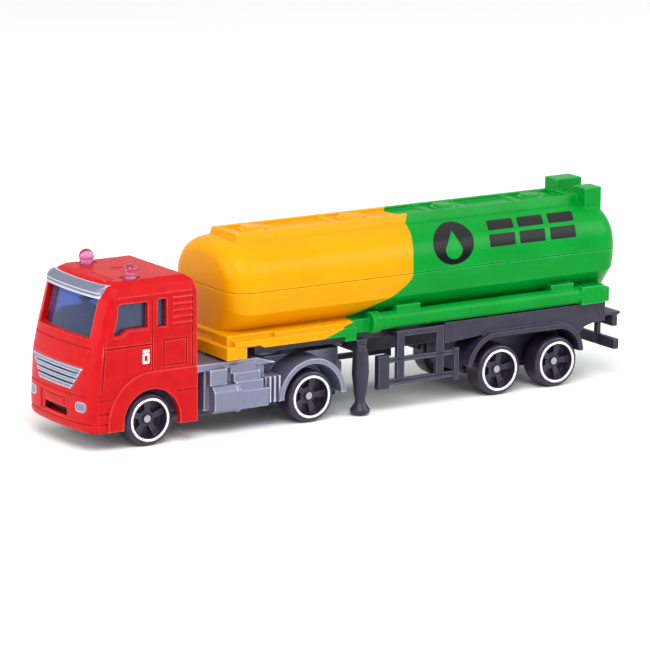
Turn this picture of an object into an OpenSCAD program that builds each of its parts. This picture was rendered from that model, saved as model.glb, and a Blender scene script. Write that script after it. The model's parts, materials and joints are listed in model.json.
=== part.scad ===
// Toy articulated tanker truck, about 1:87: a die-cast cab on a moulded tractor, with a two-part
// moulded tank trailer. +X is forward, +Y is the truck's left, +Z is up. The origin is on the
// ground, in the middle of the length and width.

/* [Overall] */
// Half the width over the cab sides, wings and tank skirts
half_w = 14; // [13.8:0.05:14.2]
// Wall of the die-cast cab
cast_wall = 1.2; // [1:0.05:1.4]
// Wall of the moulded plastic shells
wall = 1.1; // [0.9:0.05:1.3]

/* [Wheels] */
// Radius of every tyre
tyre_r = 5.75; // [5.6:0.05:5.85]
// Width of every wheel
wheel_w = 5.6; // [5.2:0.1:5.7]
// Distance from the centre plane to a wheel's outer face
wheel_face_y = 13.4; // [13.3:0.05:13.5]
// Outer radius of the bright rim edge
rim_r = 4.72; // [4.5:0.05:4.8]
// Number of spokes in a wheel
spokes = 5; // [4:1:6]
// Radius of the axle wire
axle_r = 0.6; // [0.5:0.05:0.65]
// Radial clearance of a wheel on its axle
axle_gap = 0.05; // [0.03:0.01:0.08]

/* [Tractor] */
// Front axle, along the truck
front_axle_x = 54.3; // [54:0.1:54.6]
// Drive axle, along the truck
drive_axle_x = 13.5; // [13.4:0.05:13.6]
// Rear wall of the cab
cab_rear_x = 43.1; // [43:0.05:43.3]
// Foremost point of the cab's bumper
cab_front_x = 70.15; // [69.9:0.05:70.4]
// Underside of the cab
cab_floor_z = 4.3; // [4.2:0.05:4.5]
// Top of the cab roof
cab_roof_z = 36; // [35.8:0.1:36.4]
// Radius of the cab's wheel arch
arch_r = 6.9; // [6.6:0.05:7.1]
// Top of the tractor's deck
deck_z = 15.8; // [15.6:0.05:15.85]
// Kingpin, along the truck
kingpin_x = 20.5; // [20.3:0.1:20.7]

/* [Trailer] */
// Fore trailer axle, along the truck
fore_axle_x = -36.5; // [-36.7:0.1:-36.3]
// Aft trailer axle, along the truck
aft_axle_x = -52.3; // [-52.5:0.1:-52.1]
// Front end of the tank
tank_front_x = 33.4; // [33:0.1:33.8]
// Rear end of the tank
tank_rear_x = -69.5; // [-69.7:0.1:-69]
// Half the width of the tank at its seam
tank_half_w = 13.7; // [13.5:0.05:13.8]
// Height of the seam between the tank halves
seam_z = 30.4; // [30:0.1:30.8]
// Crown of the tank
tank_top_z = 40.6; // [40.2:0.1:41]
// Top of the walkway's side rails
walkway_z = 41.8; // [41.5:0.1:42]
// Top of the deck that the tank sits on
saddle_z = 21.3; // [21:0.1:21.6]
// Lower edge of the skirts
skirt_z = 18.3; // [18.2:0.05:18.4]
// Front end of the trailer's deck
deck_front_x = 35.4; // [35:0.1:35.6]
// Rear end of the trailer's deck
deck_rear_x = -66.5; // [-66.8:0.1:-66]
// Landing legs, along the truck
leg_x = 0.4; // [0.2:0.1:0.5]
// Distance from the centre plane to a landing leg
leg_y = 12.5; // [12.4:0.05:12.6]

/* [Hidden] */

eps = 0.01;
through = 40;             // longer than the truck is wide
wheel_in_y = wheel_face_y - wheel_w;
hub_face_y = wheel_face_y - 1.8;
axle_head_r = 0.8;
axle_head_t = 0.5;
frame_half_w = 6.8;       // half-width of the tractor's and the trailer's frames
plate_top_z = tyre_r - axle_r - 0.02;
rear_x = -70.13;          // rearmost point of the trailer
hub_in_y = 7;             // inner end of a wheel's hub
rivet_xs = [31, 46.3, 64];
post_r = 2.2;
foot_z = 0.4;             // clearance under the landing legs
rivet_r = 1;
kingpin_r = 1.3;
kingpin_gap = 0.06;
coupling_top_z = 15.95;
gooseneck_z = 16.1;
gooseneck_top_z = skirt_z - 0.1;
gooseneck_half_w = 10.2;
screw_xs = [8, -27, -61];
screw_r = 0.7;
plate_t = 1.5;            // thickness of the tractor's base plate
rivet_head_r = 1.9;
rivet_head_t = 0.7;
glass_gap = 0.05;

// Colours
cab_red = [0.86, 0.15, 0.16];
silver = [0.63, 0.65, 0.72];
black = [0.2, 0.2, 0.27];
steel = [0.8, 0.8, 0.82];
tank_green = [0, 0.62, 0.2];
tank_yellow = [1, 0.72, 0];
glass_blue = [0.35, 0.45, 0.7, 0.6];

// ---- shared shapes

// Its children, and their mirror image on the truck's other side
module both_sides() {
  children();
  mirror([0, 1, 0]) children();
}

// A box from one corner to the opposite one
module span(low, high) {
  translate(low) cube(high - low);
}

// A rod of radius r along Y, from y0 to y1
module cross_rod(r, x, z, y0, y1, sides = 48) {
  translate([x, y0, z]) rotate([-90, 0, 0]) cylinder(r = r, h = y1 - y0, $fn = sides);
}

// An outline in side view (X, Z), as thick as y0 to y1
module side_plate(points, y0, y1) {
  translate([0, y1, 0]) rotate([90, 0, 0]) linear_extrude(y1 - y0) polygon(points);
}

// An outline in front view (Y, Z), as deep as x0 to x1
module front_plate(points, x0, x1) {
  translate([x0, 0, 0]) rotate([90, 0, 90]) linear_extrude(x1 - x0) polygon(points);
}

// Points on an arc, from angle a0 to a1 in steps
function arc(cx, cy, r, a0, a1, steps) =
  [for (i = [0:steps]) let (a = a0 + (a1 - a0) * i / steps) [cx + r * cos(a), cy + r * sin(a)]];

// A wire axle with a formed head at each end
module axle(x) {
  color(steel) {
    cross_rod(axle_r, x, tyre_r, -hub_face_y - 0.1, hub_face_y + 0.1);
    both_sides() cross_rod(axle_head_r, x, tyre_r, hub_face_y + 0.1, hub_face_y + 0.1 + axle_head_t);
  }
}

// One wheel with its tyre, on the left side; turn is the angle of its first spoke
module wheel(x, turn) {
  dish_r = 4.15;
  shoulder = 0.9;
  web_in_y = hub_face_y - 1.9;
  color(black) translate([x, 0, tyre_r]) rotate([-90, 0, 0]) difference() {
    union() {
      rotate_extrude($fn = 96) polygon(concat(
        [[axle_r + axle_gap, hub_in_y], [1.9, hub_in_y], [1.9, web_in_y], [4.5, web_in_y]],
        [[4.5, wheel_in_y + 0.2]],
        arc(tyre_r - shoulder, wheel_in_y + shoulder, shoulder, -90, 0, 6),
        arc(tyre_r - shoulder, wheel_face_y - 0.15 - shoulder, shoulder, 0, 90, 6),
        [[rim_r, wheel_face_y - 0.15], [rim_r - 0.1, wheel_face_y], [dish_r + 0.1, wheel_face_y]],
        [[dish_r, wheel_face_y - 0.15], [dish_r, hub_face_y - 0.9], [2, hub_face_y - 0.9]],
        [[1.9, hub_face_y], [axle_r + axle_gap, hub_face_y]]));
      for (i = [0:spokes - 1]) rotate([0, 0, turn + i * 360 / spokes])
        translate([0, 0, hub_face_y - 1.2]) linear_extrude(1.5)
          polygon([[1.2, -0.55], [dish_r + 0.3, -0.85], [dish_r + 0.3, 0.85], [1.2, 0.55]]);
    }
    translate([0, 0, hub_in_y - 1])
      cylinder(r = axle_r + axle_gap, h = wheel_w + 3, $fn = 48);
    translate([0, 0, hub_face_y]) cylinder(r = 1.3, h = 3, $fn = 48);
  }
}

// ---- tractor

// Outline of the cab in plan: straight sides, and a bowed front with rounded corners
module cab_plan(rear, front, half) {
  bow = 1.1;
  corner = 1.8;
  steps = 14;
  polygon(concat([[rear, -half]],
    [for (i = [-steps:steps]) let (t = i / steps)
      [front - bow * t * t - corner * pow(abs(t), 9), half * t]],
    [[rear, half]]));
}

// The cab's outside, shrunk by inset on every side
module cab_block(inset = 0) {
  levels = [
    // height, rear, front, half-width
    [cab_floor_z, cab_rear_x, cab_front_x - 0.45, half_w - 0.3],
    [cab_floor_z + 0.7, cab_rear_x, cab_front_x - 0.1, half_w],
    [cab_floor_z + 3.7, cab_rear_x, cab_front_x, half_w],
    [cab_floor_z + 13.7, cab_rear_x, cab_front_x - 0.45, half_w],
    [cab_floor_z + 19.7, cab_rear_x, cab_front_x - 1.75, half_w],
    [cab_roof_z - 3.2, cab_rear_x, cab_front_x - 4, half_w - 0.1],
    [cab_roof_z - 1.1, cab_rear_x + 0.4, cab_front_x - 5.1, half_w - 1],
    [cab_roof_z, cab_rear_x + 1.8, cab_front_x - 6.6, half_w - 2.8]];
  hull() for (level = levels)
    translate([0, 0, level[0] - inset])
      linear_extrude(eps)
        cab_plan(level[1] + inset, level[2] - inset, level[3] - inset);
}

// Outlines of the glazed openings
door_window = [[62.3, 31.6], [55.2, 31.5], [55.2, 26], [60.2, 26], [61.9, 24.9], [63.6, 24.9],
  [62.6, 28.6]];
sleeper_window = [[52.8, 31.8], [50.6, 31.8], [50.6, 25.8], [52.8, 25.8]];
screen_half_w = 10.6;
screen_low_z = 24.2;
screen_high_z = 33;
beacon_x = 56.8;
beacon_y = 9.2;
beacon_r = 1.65;
beacon_base_r = 1.3;

// A band that stands proud round the wheel arch and back along the sill
module arch_flare() {
  outer_r = arch_r + 3.9;
  points = concat(arc(front_axle_x, tyre_r, outer_r, 90, 12, 10),
    [[front_axle_x + outer_r - 0.1, cab_floor_z + 0.1], [cab_rear_x, cab_floor_z + 0.1]],
    [[cab_rear_x, tyre_r + outer_r - 0.3]]);
  side_plate(points, half_w - 1, half_w + 0.35);
}

// Shallow lines in the cab's sides: door, waist, rear panel and locker
module side_grooves() {
  groove_w = 0.3;
  groove_y = half_w - 0.3;
  door_rear_x = 54;
  waist_z = 22.2;
  door_foot_z = 13;
  module line(low, high) span([low[0], groove_y, low[1]], [high[0], through, high[1]]);
  side_plate([[64.7, 32.2], [66.3, door_foot_z], [66.6, door_foot_z], [65, 32.2]], groove_y, through);
  line([door_rear_x, 16.6], [door_rear_x + groove_w, 32.2]);
  line([door_rear_x, waist_z], [65.6, waist_z + groove_w]);
  line([44.1, 16.6], [44.1 + groove_w, 32.2]);
  for (z = [17.2, 22.7]) line([45.6, z], [51.4, z + 0.25]);
  for (x = [45.6, 51.2]) line([x, 17.2], [x + 0.25, 22.9]);
}

module cab_shell() {
  color(cab_red) difference() {
    union() {
      difference() {
        cab_block();
        cab_block(cast_wall);
        span([cab_rear_x + cast_wall, -half_w + cast_wall, 0],
          [front_axle_x + 9, half_w - cast_wall, cab_floor_z + 2]);
      }
      both_sides() arch_flare();
      // louvre ribs behind the door
      both_sides() for (i = [0:4])
        span([44.4, half_w - 0.5, 26.1 + i * 1.38], [49.1, half_w + 0.2, 26.5 + i * 1.38]);
      // rear rivet post, held by a web above the chassis, and front rivet post
      translate([rivet_xs[1], 0, 8]) cylinder(r = post_r, h = 11, $fn = 48);
      span([cab_rear_x + 0.5, -1, 16], [rivet_xs[1], 1, 19]);
      translate([rivet_xs[2], 0, 8]) cylinder(r = post_r, h = 6, $fn = 48);
      span([rivet_xs[2], -1, 8.6], [cab_front_x - 0.8, 1, 14]);
    }
    // way in for the chassis through the rear wall
    span([cab_rear_x - 1, -7.3, 0], [cab_rear_x + cast_wall + 0.1, 7.3, deck_z + 0.1]);
    both_sides() {
      cross_rod(arch_r, front_axle_x, tyre_r, 5, through, 96);
      span([front_axle_x - arch_r, 5, -5], [front_axle_x + arch_r, through, tyre_r]);
      side_plate(door_window, half_w - 3, through);
      side_plate(sleeper_window, half_w - 3, through);
      side_grooves();
      translate([beacon_x, beacon_y, cab_roof_z - 4])
        cylinder(r = beacon_base_r + glass_gap, h = 8, $fn = 48);
    }
    // windscreen
    span([60, -screen_half_w, screen_low_z], [80, screen_half_w, screen_high_z]);
    // grille opening and air slot
    grille_shape(60, 80, 0);
    span([cab_front_x - 0.75, -4.7, 6.8], [80, 4.7, 8.5]);
    both_sides() lamp_shape(0);
    for (i = [1, 2]) translate([rivet_xs[i], 0, 0]) cylinder(r = rivet_r + 0.02, h = 13, $fn = 48);
  }
}

// The grille's outline, wider at the top
module grille_shape(x0, x1, gap) {
  front_plate([[-10.4 + gap, 18 - gap], [-6.6 + gap, 13 + gap], [6.6 - gap, 13 + gap],
    [10.4 - gap, 18 - gap]], x0, x1);
}

// The cab's outside, cut back to a slab that follows its front face
module front_slab(depth, proud) {
  intersection() {
    translate([proud, 0, 0]) cab_block();
    difference() {
      span([60, -half_w, cab_floor_z + 1], [80, half_w, cab_roof_z - 0.2]);
      translate([-depth, 0, 0]) cab_block();
    }
  }
}

module radiator_grille() {
  color(silver) difference() {
    intersection() {
      front_slab(1, 0.2);
      grille_shape(60, 80, 0.06);
    }
    // grooves between four broad ribs
    for (i = [0:2])
      span([cab_front_x - 0.9, -9, 14.05 + i * 1.25], [80, 9, 14.5 + i * 1.25]);
  }
}

// A headlamp's rounded outline, shrunk by gap
module lamp_shape(gap) {
  low = [8.3, 8.6];
  high = [11.6, 10.8];
  r = 0.9;
  front_plate(concat(
    arc(high[0] - r, high[1] - r, r - gap, 0, 90, 6), arc(low[0] + r, high[1] - r, r - gap, 90, 180, 6),
    arc(low[0] + r, low[1] + r, r - gap, 180, 270, 6), arc(high[0] - r, low[1] + r, r - gap, 270, 360, 6)),
    60, 80);
}

module headlamps() {
  color(silver) both_sides() intersection() {
    front_slab(1, 0.05);
    lamp_shape(0.06);
  }
}

module sun_visor() {
  half = 11.3;
  color(silver) intersection() {
    difference() {
      translate([1, 0, 0]) cab_block();
      translate([0.03, 0, 0]) cab_block();
    }
    span([60, -half, 32.7], [80, half, 35.4]);
  }
}

module cab_glazing() {
  inset = cast_wall + glass_gap;
  color(glass_blue) {
    difference() {
      cab_block(inset);
      cab_block(inset + 0.8);
      span([0, -through, -5], [80, through, screen_low_z - 1]);
      span([0, -through, -5], [49.6, through, through]);
    }
    both_sides() {
      translate([beacon_x, beacon_y, cab_roof_z - 2.4])
        cylinder(r = beacon_base_r, h = 2.8, $fn = 48);
      translate([beacon_x, beacon_y, cab_roof_z + 1.4]) sphere(r = beacon_r, $fn = 48);
      translate([beacon_x, beacon_y, cab_roof_z]) cylinder(r = beacon_r - 0.15, h = 1.2, $fn = 48);
    }
  }
}

module cab_interior() {
  floor_z = deck_z + 0.1;
  color(black) {
    span([48.7, -11.5, floor_z], [66, 11.5, floor_z + 1]);
    both_sides() {
      span([49, 2.4, floor_z + 1 - eps], [56, 9, floor_z + 3]);
      span([49, 2.4, floor_z + 3 - eps], [50.6, 9, 29]);
      span([49.1, 4, 29 - eps], [50.4, 7.4, 31]);
    }
    // dashboard
    side_plate([[61.4, floor_z + 1 - eps], [66, floor_z + 1 - eps], [65.6, 22.2], [62.6, 22.2]],
      -11, 11);
    // steering wheel on its column
    translate([61.2, 5.6, 22.4]) rotate([0, -60, 0]) {
      cylinder(r = 0.4, h = 0.8, center = true, $fn = 24);
      rotate_extrude($fn = 48) translate([1.9, 0]) circle(r = 0.3, $fn = 24);
      for (a = [0, 120, 240]) rotate([0, 0, a]) translate([0, -0.2, -0.2]) cube([1.9, 0.4, 0.4]);
      translate([0, 0, -3.2]) cylinder(r = 0.35, h = 3.2, $fn = 24);
    }
  }
}

// A wing that arches over a drive wheel
module drive_wing() {
  outer_r = 8.6;
  inner_r = 7.4;
  difference() {
    cross_rod(outer_r, drive_axle_x, tyre_r, frame_half_w - 0.6, half_w - 0.1, 128);
    cross_rod(inner_r, drive_axle_x, tyre_r, 0, through, 128);
    span([0, 0, -10], [30, through, tyre_r + 0.2]);
  }
}

// Tanks, lockers and steps along the tractor's side
module side_equipment() {
  // front, rear, lower edge, upper edge, distance out
  boxes = [
    [39.3, 35.1, 11.1, 14.6, 13.2],
    [33.6, 27.2, 13.0, 15.0, 12.3],
    [33.1, 26.5, 11.2, 13.3, 12.8],
    [32.8, 25.9, 9.2, 11.4, 13.3],
    [32.0, 24.9, 5.4, 9.4, 13.9]];
  in_y = frame_half_w - eps;
  for (b = boxes) span([b[1], in_y, b[2]], [b[0], b[4], b[3]]);
  // inner wall that carries the boxes
  span([24.6, in_y, 5.4], [39.8, 11.4, deck_z - 0.6]);
  // fuel tank and its strap
  front_plate([[9.4, 5.9], [10.3, 5], [13.2, 5], [14, 5.8], [14, 9.6], [12.8, 10.9], [10.2, 10.9],
    [9.4, 10]], 32.7, 38.6);
  front_plate([[9.4, 5.6], [10.1, 4.8], [13.3, 4.8], [14.15, 5.7], [14.15, 9.7], [12.9, 11.1],
    [10.1, 11.1], [9.4, 10.2]], 31.9, 32.75);
  // cooling fins
  for (x = [21.7, 22.9, 24.1]) span([x, in_y, 5.8], [x + 0.45, 13.6, 11.6]);
  span([22, in_y, 5.8], [25, 12.6, 11.4]);
}

module tractor_chassis() {
  rail_low_z = plate_top_z;
  color(silver) difference() {
    union() {
      // frame from tail to front axle
      span([2.5, -frame_half_w, rail_low_z], [63, frame_half_w, 14.4]);
      span([-0.1, -4.4, 5.2], [2.6, 4.4, 10.4]);
      // deck behind the cab, with a sloped end
      side_plate([[66, 14.2], [22, 14.2], [22.2, 14.4], [26.8, deck_z], [66, deck_z]], -7.2, 7.2);
      side_plate([[41.9, 14.2], [22, 14.2], [22.2, 14.4], [26.8, deck_z], [41.9, deck_z]],
        -12, 12);
      // coupling pad
      translate([kingpin_x, 0, 14]) cylinder(r = 6.2, h = coupling_top_z - 14, $fn = 96);
      both_sides() {
        drive_wing();
        side_equipment();
      }
    }
    // hollow underside
    span([26, -frame_half_w + wall, 0], [49.5, frame_half_w - wall, 12.8]);
    span([4, -3.4, 0], [10, 3.4, 9.2]);
    // axle slots, open below
    for (x = [front_axle_x, drive_axle_x]) {
      cross_rod(axle_r + 0.02, x, tyre_r, -through, through);
      span([x - axle_r - 0.02, -frame_half_w - 0.2, 0], [x + axle_r + 0.02, frame_half_w + 0.2, tyre_r]);
    }
    // kingpin socket
    translate([kingpin_x, 0, 8]) cylinder(r = kingpin_r + kingpin_gap, h = 10, $fn = 64);
    // rivet holes
    for (x = rivet_xs) translate([x, 0, 0]) cylinder(r = rivet_r + 0.02, h = 20, $fn = 48);
    // room for the cab's posts
    for (i = [1, 2]) translate([rivet_xs[i], 0, 7.9]) cylinder(r = post_r + 0.1, h = 20, $fn = 48);
    span([60, -7.3, 7.9], [68, 7.3, 14.15]);
    span([62, -7.3, 14.1], [70, 7.3, 20]);
    // slack for the front wheels
    both_sides() cross_rod(tyre_r + 1, front_axle_x, tyre_r, frame_half_w + 0.3, through, 96);
  }
  // rear rivet post
  color(silver) difference() {
    translate([rivet_xs[0], 0, plate_top_z]) cylinder(r = post_r, h = 8, $fn = 48);
    translate([rivet_xs[0], 0, 0]) cylinder(r = rivet_r + 0.02, h = 20, $fn = 48);
  }
}

module tractor_base_plate() {
  low_z = plate_top_z - plate_t;
  color(black) difference() {
    union() {
      span([3, -6.6, low_z], [66.5, 6.6, plate_top_z - eps]);
      span([24.6, -9.2, low_z + 0.4], [41.5, 9.2, plate_top_z - eps]);
    }
    // rivet holes, with a seat that takes the whole head
    for (x = rivet_xs) translate([x, 0, 0]) {
      cylinder(r = rivet_r + 0.02, h = 8, $fn = 48);
      cylinder(r = rivet_head_r + 0.05, h = low_z + rivet_head_t + 0.1, $fn = 64);
    }
  }
}

module tractor_rivets() {
  seat_z = plate_top_z - plate_t + rivet_head_t + 0.1;
  color(steel) for (x = rivet_xs) translate([x, 0, seat_z]) {
    translate([0, 0, -0.1]) cylinder(r = rivet_r, h = 7, $fn = 48);
    rotate_extrude($fn = 64) polygon(concat([[0, 0]],
      [for (a = [0:15:90]) [rivet_head_r * cos(a), -rivet_head_t * sin(a)]]));
  }
}

module kingpin() {
  color(steel) {
    translate([kingpin_x, 0, 12.4]) cylinder(r = kingpin_r, h = 6.1, $fn = 64);
    translate([kingpin_x, 0, 11.8]) cylinder(r1 = kingpin_r - 0.4, r2 = kingpin_r, h = 0.6, $fn = 64);
    translate([kingpin_x, 0, gooseneck_top_z + 0.1]) cylinder(r = 2.2, h = 0.8, $fn = 64);
  }
}

// ---- tank

// Half of the tank's cross-section at height share 0 to 1 of the full outline, as [y, z]
function upper_point(a) = let (n = 2 / 2.3)
  [pow(cos(a), n), pow(sin(a), n)];

// The whole cross-section of the tank, shrunk by inset, with its ends scaled by k
function tank_ring(inset, k) = let (
    w = (tank_half_w - inset) * k,
    h = (tank_top_z - seam_z - inset) * k,
    crease = [(13.2 - inset) * k, seam_z - 4.9 * k],
    foot = [(8.8 - inset * 0.6) * k, saddle_z - 0.3 + inset],
    right = concat(
      [for (i = [0:12]) let (p = upper_point(90 - i * 7.5)) [w * p[0], seam_z + h * p[1]]],
      [[w * 0.995, seam_z - 2 * k], crease, foot]))
  concat(right, [for (i = [len(right) - 1:-1:1]) [-right[i][0], right[i][1]]]);

// The tank's skin as one closed solid, shrunk by inset
module tank_body(inset = 0) {
  round_r = 4.8;
  steps = 6;
  front = tank_front_x - inset;
  rear = tank_rear_x + inset;
  ends = [for (i = [0:steps]) let (a = 90 * i / steps) [round_r * (1 - sin(a)), round_r * (1 - cos(a))]];
  stations = concat(
    [for (e = ends) [rear + e[1], 1 - e[0] / tank_half_w]],
    [for (i = [steps:-1:0]) [front - ends[i][1], 1 - ends[i][0] / tank_half_w]]);
  rings = [for (s = stations) [for (p = tank_ring(inset, s[1])) [s[0], p[0], p[1]]]];
  m = len(rings[0]);
  last = len(rings) - 1;
  points = [for (ring = rings) for (p = ring) p];
  faces = concat(
    [[for (i = [m - 1:-1:0]) i]],
    [[for (i = [0:m - 1]) last * m + i]],
    [for (r = [0:last - 1]) for (i = [0:m - 1]) let (j = (i + 1) % m)
      each [[r * m + i, r * m + j, (r + 1) * m + i], [r * m + j, (r + 1) * m + j, (r + 1) * m + i]]]);
  polyhedron(points, faces);
}

// A manhole cover on the walkway
module manhole(x) {
  translate([x, 0, walkway_z - 1.2]) {
    cylinder(r = 3, h = 1, $fn = 48);
    cylinder(r = 2.1, h = 1.5, $fn = 48);
  }
  span([x - 0.6, -3.8, walkway_z - 1.2], [x + 0.6, 3.8, walkway_z - 0.3]);
}

manhole_xs = [21, -4.5, -29.5, -53.5];
walkway_half_w = 4.9;
walkway_front_x = 28;

module tank_top_shell() {
  color(tank_yellow) difference() {
    union() {
      tank_body();
      front_plate([[-5.6, 39.6], [5.6, 39.6], [walkway_half_w, walkway_z], [-walkway_half_w, walkway_z]],
        tank_rear_x + 6, walkway_front_x);
      // boxes at the rear of the walkway
      span([-69.1, -6.9, 38.6], [-61.2, -1.9, 44.5]);
      span([-66.8, 3.6, 38.2], [-60.6, 8.4, 44.2]);
    }
    // walkway channel
    span([tank_rear_x + 8, -3.9, walkway_z - 0.7], [walkway_front_x - 0.9, 3.9, 50]);
    tank_body(wall);
    span([-80, -20, 0], [40, 20, seam_z]);
  }
  color(tank_yellow) intersection() {
    for (x = manhole_xs) manhole(x);
    span([-80, -20, walkway_z - 1.1], [40, 20, 50]);
  }
  // posts that the screws reach
  color(tank_yellow) for (x = screw_xs) translate([x, 0, seam_z + 0.05]) difference() {
    cylinder(r = 1.9, h = tank_top_z - seam_z - 0.7, $fn = 48);
    translate([0, 0, -1]) cylinder(r = screw_r + 0.02, h = 5, $fn = 48);
  }
}

tube_r = 1.95;
tube_y = half_w - tube_r;
tube_z = 20.3;

module tank_bottom_shell() {
  color(tank_green) difference() {
    union() {
      intersection() {
        tank_body();
        span([-80, -20, saddle_z - 0.2], [40, 20, seam_z - 0.05]);
      }
      // deck
      span([deck_rear_x, -12.2, skirt_z], [deck_front_x - 0.9, 12.2, saddle_z]);
      span([deck_front_x - 5, -13.8, gooseneck_z + 0.2], [deck_front_x, 13.8, 19.1]);
      // front skirts and tabs
      both_sides() {
        side_plate([[deck_front_x - 2, 19], [deck_front_x - 2, 20.2], [2.5, 20.2], [2.5, skirt_z],
          [26.1, skirt_z], [27.6, 19]], 11, half_w);
        span([2.4, 11, 19.4], [23, 13.2, saddle_z - 0.1]);
        span([2.4, 12, 17.1], [5.2, 13.9, 19.7]);
        cross_tube_end(5.4, 7.8);
        // hose tube, its end caps and saddle blocks
        translate([deck_rear_x + 1, tube_y, tube_z]) rotate([0, 90, 0])
          cylinder(r = tube_r, h = -deck_rear_x - 3.5, $fn = 48);
        translate([-4.2, tube_y, tube_z]) rotate([0, 90, 0]) cylinder(r = 2.4, h = 2.3, $fn = 64);
        span([-64.5, tube_y - 3, skirt_z], [-58.5, half_w + 0.1, tube_z + tube_r + 0.1]);
        span([deck_rear_x, tube_y - 3, skirt_z], [-63.6, half_w - 0.5, saddle_z + 0.3]);
        for (x = [-15, -56.8]) span([x, 9.5, saddle_z - 1], [x + 6.2, 13, saddle_z + 2.2]);
      }
    }
    // hollow tank and underside
    intersection() {
      tank_body(wall);
      span([-80, -20, saddle_z], [40, 20, 60]);
    }
    span([deck_rear_x + 2, -10.4, skirt_z - 1], [22, 10.4, saddle_z - 1]);
    // room for the kingpin's head
    translate([kingpin_x, 0, 0]) cylinder(r = 2.5, h = saddle_z - 1, $fn = 64);
    span([29, -6, 0], [deck_front_x - 1.2, 6, saddle_z - 1]);
    for (x = screw_xs) translate([x, 0, 0]) cylinder(r = screw_r + 0.02, h = 60, $fn = 48);
  }
  // posts that the screws pass through
  color(tank_green) for (x = screw_xs) difference() {
    translate([x, 0, gooseneck_top_z + 0.1]) cylinder(r = 1.9, h = seam_z - gooseneck_top_z - 0.1, $fn = 48);
    translate([x, 0, 0]) cylinder(r = screw_r + 0.02, h = 60, $fn = 48);
  }
}

// The open end of a short tube on the skirt
module cross_tube_end(x0, x1) {
  translate([x0, half_w - 1.3, 18.9]) rotate([0, 90, 0]) cylinder(r = 0.8, h = x1 - x0, $fn = 32);
}

// ---- trailer underframe

// One tandem wing over both trailer wheels
module tandem_wing() {
  front_r = 9.4;
  rear_r = 6.9;
  top_z = 14.7;
  t = 1.2;
  outer = concat(
    arc(fore_axle_x, tyre_r, front_r, 12, 72, 8),
    arc(aft_axle_x, top_z - rear_r, rear_r, 95, 180, 8));
  inner = concat(
    arc(fore_axle_x, tyre_r, front_r - t, 12, 72, 8),
    arc(aft_axle_x, top_z - rear_r, rear_r - t, 95, 180, 8));
  side_plate(concat(outer, [for (i = [len(inner) - 1:-1:0]) inner[i]]), frame_half_w - 0.5, half_w);
}

module trailer_frame() {
  color(black) difference() {
    union() {
      // gooseneck and main frame
      span([-20, -gooseneck_half_w, gooseneck_z], [26.4, gooseneck_half_w, gooseneck_top_z]);
      side_plate([[4.6, gooseneck_z + 1], [-2.4, 12.4], [-62, 12.4], [-66, 14.8], [-66, gooseneck_top_z],
        [4.6, gooseneck_top_z]], -frame_half_w, frame_half_w);
      span([-22, -gooseneck_half_w, gooseneck_z], [-19, gooseneck_half_w, gooseneck_top_z]);
      // bogie block
      span([-58, -frame_half_w, plate_top_z], [-30.5, frame_half_w, 13]);
      both_sides() {
        tandem_wing();
        // side plate
        side_plate([[-21.7, gooseneck_top_z], [-21.7, 13.4], [-32, 14.2], [-52, 14.2],
          [-58.6, 11.6], [-60.4, 13], [-63.4, 13.7], [-66, 13.7], [-66, gooseneck_top_z]], 11.8, 12.9);
        span([-66, 6, gooseneck_z], [-21.7, 12.2, gooseneck_top_z]);
        // bumper links
        span([-69.4, 5.7, 7], [-68.2, 6.9, 15]);
      }
      // rear plate and under-run beams
      span([rear_x, -13, 14.8], [-64, 13, 15.5]);
      span([-69.4, -13, 12.1], [-68, 13, 15]);
      span([-69.9, -13, 6.7], [-68.5, 13, 9.1]);
      span([-68.2, -6.9, 12.4], [-61, 6.9, 14.9]);
    }
    // kingpin bore
    translate([kingpin_x, 0, 10]) cylinder(r = kingpin_r + kingpin_gap, h = 12, $fn = 64);
    // axle slots, open below
    for (x = [fore_axle_x, aft_axle_x]) {
      cross_rod(axle_r + 0.02, x, tyre_r, -through, through);
      span([x - axle_r - 0.02, -frame_half_w - 0.2, 0], [x + axle_r + 0.02, frame_half_w + 0.2, tyre_r]);
    }
    // lightening pockets in the frame
    span([-29.3, -5.4, 0], [-4, 5.4, 16.9]);
    span([-50.3, -5.4, 0], [-38.5, 5.4, 16.9]);
    // screw holes
    for (x = screw_xs) translate([x, 0, 0]) cylinder(r = screw_r + 0.25, h = 20, $fn = 48);
    translate([screw_xs[2], 0, 0]) cylinder(r = 1.7, h = 16.6, $fn = 48);
  }
}

module axle_retainer() {
  color(black) difference() {
    union() {
      span([-57, -frame_half_w + 0.2, 4.2], [-31.5, frame_half_w - 0.2, plate_top_z - 0.01]);
      for (x = [-41, -46.4]) span([x - 0.8, -5.2, plate_top_z - 0.02], [x + 0.8, 5.2, 7.4]);
    }
    for (x = [-44.6, -50.2]) span([x, -3.5, 0], [x + 2, 3.5, 10]);
  }
}

module trailer_screws() {
  head_t = 0.9;
  tip_z = seam_z + 3.6;
  color(steel) for (i = [0:2]) {
    seat_z = [gooseneck_z, 16.9, 16.6][i];
    translate([screw_xs[i], 0, 0]) difference() {
      union() {
        translate([0, 0, seat_z - eps]) cylinder(r = screw_r, h = tip_z - seat_z, $fn = 48);
        translate([0, 0, seat_z - head_t]) cylinder(r = 1.5, h = head_t, $fn = 48);
      }
      translate([-1.1, -0.2, seat_z - head_t - 1]) cube([2.2, 0.4, 1.4]);
      translate([-0.2, -1.1, seat_z - head_t - 1]) cube([0.4, 2.2, 1.4]);
    }
  }
}

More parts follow.
